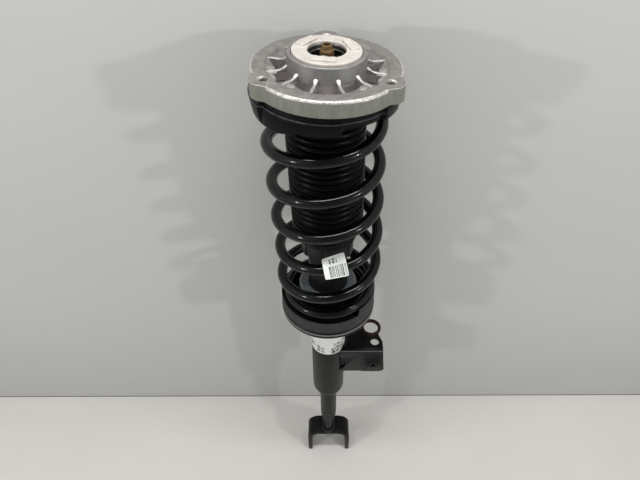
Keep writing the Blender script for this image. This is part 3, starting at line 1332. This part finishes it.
tagLook = paperLook("tagPaper", 26, 9, [(0.20, 0.96, 0.04, 0.56)], [
    (0.28, 0.36, 0.66, 0.86), (0.42, 0.52, 0.62, 0.88), (0.58, 0.62, 0.66, 0.84)])
labelLook = paperLook("labelPaper", 40, 30, [], [], [
    (0.565, 0.878, 0.027, 0.225, 44, 66), (0.065, 0.20, 0.09, 0.26, 26, 110), (0.26, 0.333, 0.04, 0.23, 34, 150),
    (0.351, 0.415, 0.04, 0.2, 30, 120), (0.62, 0.9, 0.25, 0.33, 40, 70)])
place(coilTag(), tagLook, None, None)
place(tubeLabel(), labelLook, None, "damper")

# Solids that stay as they are, inside the tube or under the cap
inner = {
    "steel": ["mount_inner_sleeve", "rod_washer", "bump_stop_cup", "rod_guide", "rebound_stop", "rebound_collar",
              "piston", "upper_shims", "lower_shims", "piston_nut", "gas_piston"],
    "bush": ["rod_seal", "gas_piston_seal"],
    "bronze": ["piston_band"],
}
for look, names in inner.items():
    for name in names:
        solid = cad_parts[name]
        solid.data.materials.clear()
        solid.data.materials.append(looks[look])
# the tag moves with the place on the wire that it sticks to
tag = bpy.data.objects["coilTag"]
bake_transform(tag)
print("pieces done")


# Room: pale floor, grey wall, two soft lamps and a plain sky
roomSizes = dict(floor=-795.4, wall=98.0, floorColour=(217, 213, 209), floorSecond=(209, 206, 201),
                 wallColour=(203, 203, 199), wallSecond=(199, 199, 195), gap=0.0015)
lampSizes = dict(
    leftLamp=((-1.21, -0.82, 0.24), (0.06, 0.06), 4.6, (0, 0, -0.30)),
    rightLamp=((1.25, -0.96, 0.31), (0.06, 0.06), 5.4, (0, 0, -0.30)),
    topStrip=((0, -0.25, 1.15), (1.3, 0.1), 15, (0, -0.2, -0.8)))
cameraSizes = dict(spot=(-0.00176, -0.4868, 0.2240), turns=(46.5851, 0.77, 0.2315), lens=29.25, sensor=36, near=0.01)


def stageLook(name, colour, second, seeThroughBack):
    look = makeLook(name, {"colour": colour, "second": second, "patch": 1.2, "roughness": (0.55, 0.7), "edge": 0.1,
                           "grain": 160, "bump": 0.03, "depth": 0.3, "specular": 0.3})
    if seeThroughBack:
        tree, shader, shade = painted(look)
        low = fromOne(tree, heightMask(tree, *markHeights["wallFoot"]))
        shade = mixColours(tree, low, shade, paint([0.93 * value for value in colour]))
        seam = fromOne(tree, heightMask(tree, *markHeights["wallSeam"]))
        wire(tree, mixColours(tree, seam, shade, paint([0.52 * value for value in colour])), shader.inputs["Base Color"])
        clear = addNode(tree, "ShaderNodeBsdfTransparent")
        either = addNode(tree, "ShaderNodeMixShader")
        side = addNode(tree, "ShaderNodeNewGeometry")
        wire(tree, side.outputs["Backfacing"], either.inputs[0])
        wire(tree, shader.outputs[0], either.inputs[1])
        wire(tree, clear.outputs[0], either.inputs[2])
        wire(tree, either.outputs[0], tree.nodes["Material Output"].inputs["Surface"])
    return look


def setRoom(size):
    letGo()
    bpy.ops.mesh.primitive_plane_add(size=6, location=(0, 0, size["floor"] * mm))
    floor = bpy.context.object
    floor.name = "floor"
    floor.data.materials.append(stageLook("floorBoard", size["floorColour"], size["floorSecond"], False))
    letGo()
    middle = (0, size["wall"] * mm, size["floor"] * mm + 2.5 + size["gap"])
    bpy.ops.mesh.primitive_plane_add(size=5, location=middle, rotation=(tau / 4, 0, 0))
    wall = bpy.context.object
    wall.name = "wall"
    bpy.ops.object.transform_apply(location=True, rotation=True, scale=True)
    wall.data.materials.append(stageLook("wallPaint", size["wallColour"], size["wallSecond"], True))


def setLamp(name, spot, size, watts, target):
    letGo()
    bpy.ops.object.light_add(type="AREA", location=spot)
    lamp = bpy.context.object
    lamp.name = name
    lamp.data.shape = "RECTANGLE"
    lamp.data.size, lamp.data.size_y = size
    lamp.data.energy = watts
    lamp.rotation_euler = (Vector(target) - Vector(spot)).to_track_quat("-Z", "Y").to_euler()


def setSky():
    # brighter to the left and right than ahead and above
    world = bpy.data.worlds.new("studio")
    world.use_nodes = True
    tree = world.node_tree
    sky = tree.nodes["Background"]
    sky.inputs["Color"].default_value = (0.80, 0.81, 0.82, 1)
    way = threeParts(tree, addNode(tree, "ShaderNodeTexCoord").outputs["Generated"])
    aside = combine(tree, "ABSOLUTE", way["X"], 0.0)
    wire(tree, remap(tree, aside, 0.15, 0.95, 0.30, 1.0), sky.inputs["Strength"])
    bpy.context.scene.world = world


setRoom(roomSizes)
setSky()
for lampName, settings in lampSizes.items():
    setLamp(lampName, *settings)
bpy.context.scene.view_settings.view_transform = "Standard"

letGo()
bpy.ops.object.camera_add(location=cameraSizes["spot"],
                          rotation=[math.radians(turn) for turn in cameraSizes["turns"]])
camera = bpy.context.object
camera.data.lens = cameraSizes["lens"]
camera.data.sensor_width = cameraSizes["sensor"]
camera.data.clip_start = cameraSizes["near"]
bpy.context.scene.camera = camera
